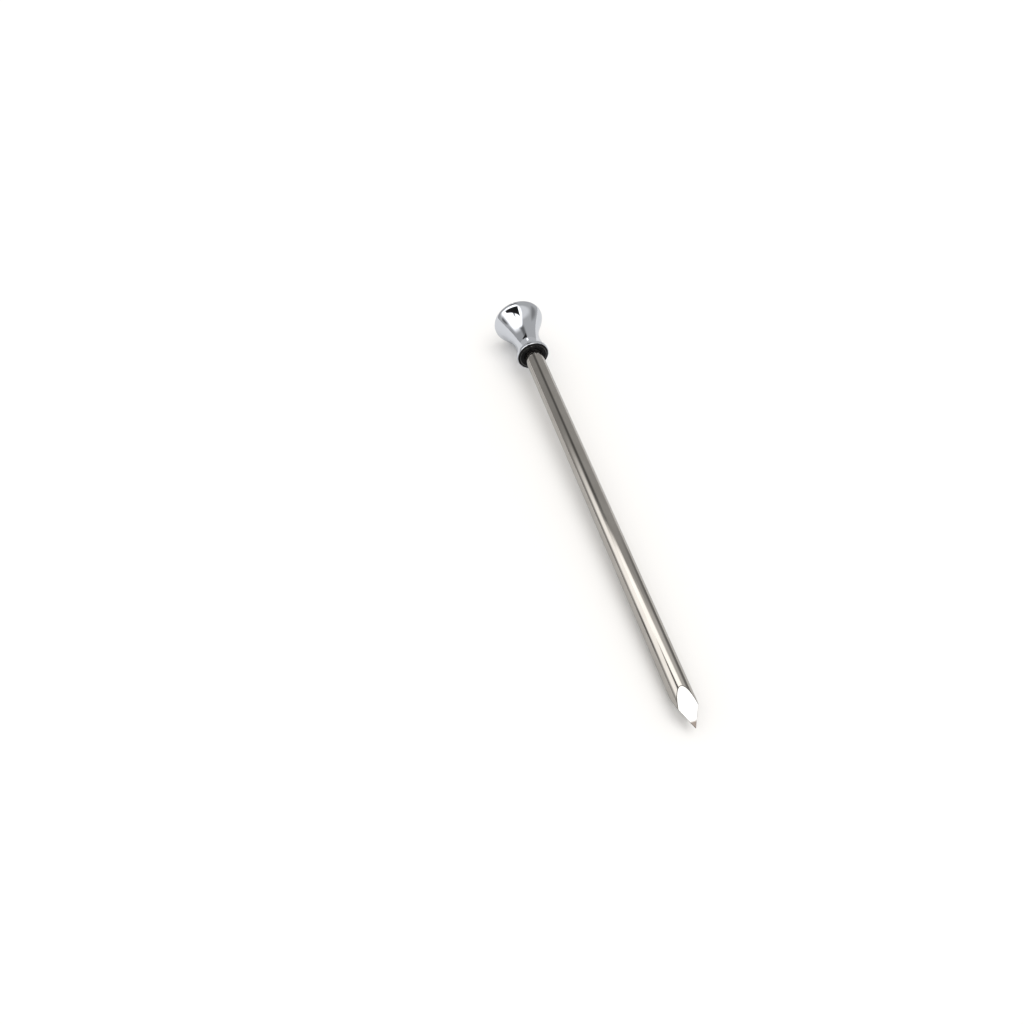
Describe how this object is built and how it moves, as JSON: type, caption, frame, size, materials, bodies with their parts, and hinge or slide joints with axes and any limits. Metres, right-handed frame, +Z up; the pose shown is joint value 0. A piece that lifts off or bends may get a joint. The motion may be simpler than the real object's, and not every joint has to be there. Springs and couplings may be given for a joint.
{
  "type": "knob-handled piercing rod",
  "caption": "Slim polished steel piercing rod with a ground, faceted trocar point, pushed by a waisted chrome knob whose end is closed round the rod by a black bush.",
  "frame": {"origin": "on the rod's axis, in the plane of the end bush's seat face, where the bare rod begins", "axes": "+X along the rod from the knob towards the point, +Z up with the top ground facet facing it, +Y sideways"},
  "size_m": [0.2125, 0.022, 0.022],
  "materials": {
    "polished_steel": "ground and polished stainless bar, faint lengthwise draw lines, bright ground facets at the point",
    "bright_chrome": "mirror chrome plating, cool tint",
    "black_bush": "black moulded nylon, satin, with a soft sheen on its rounded bead",
    "brass_insert": "knurled free-cutting brass, as turned"
  },
  "bodies": {
    "root": {"rod": "polished_steel", "knob": "bright_chrome", "end_bush": "black_bush", "threaded_insert": "brass_insert"}
  },
  "joints": []
}
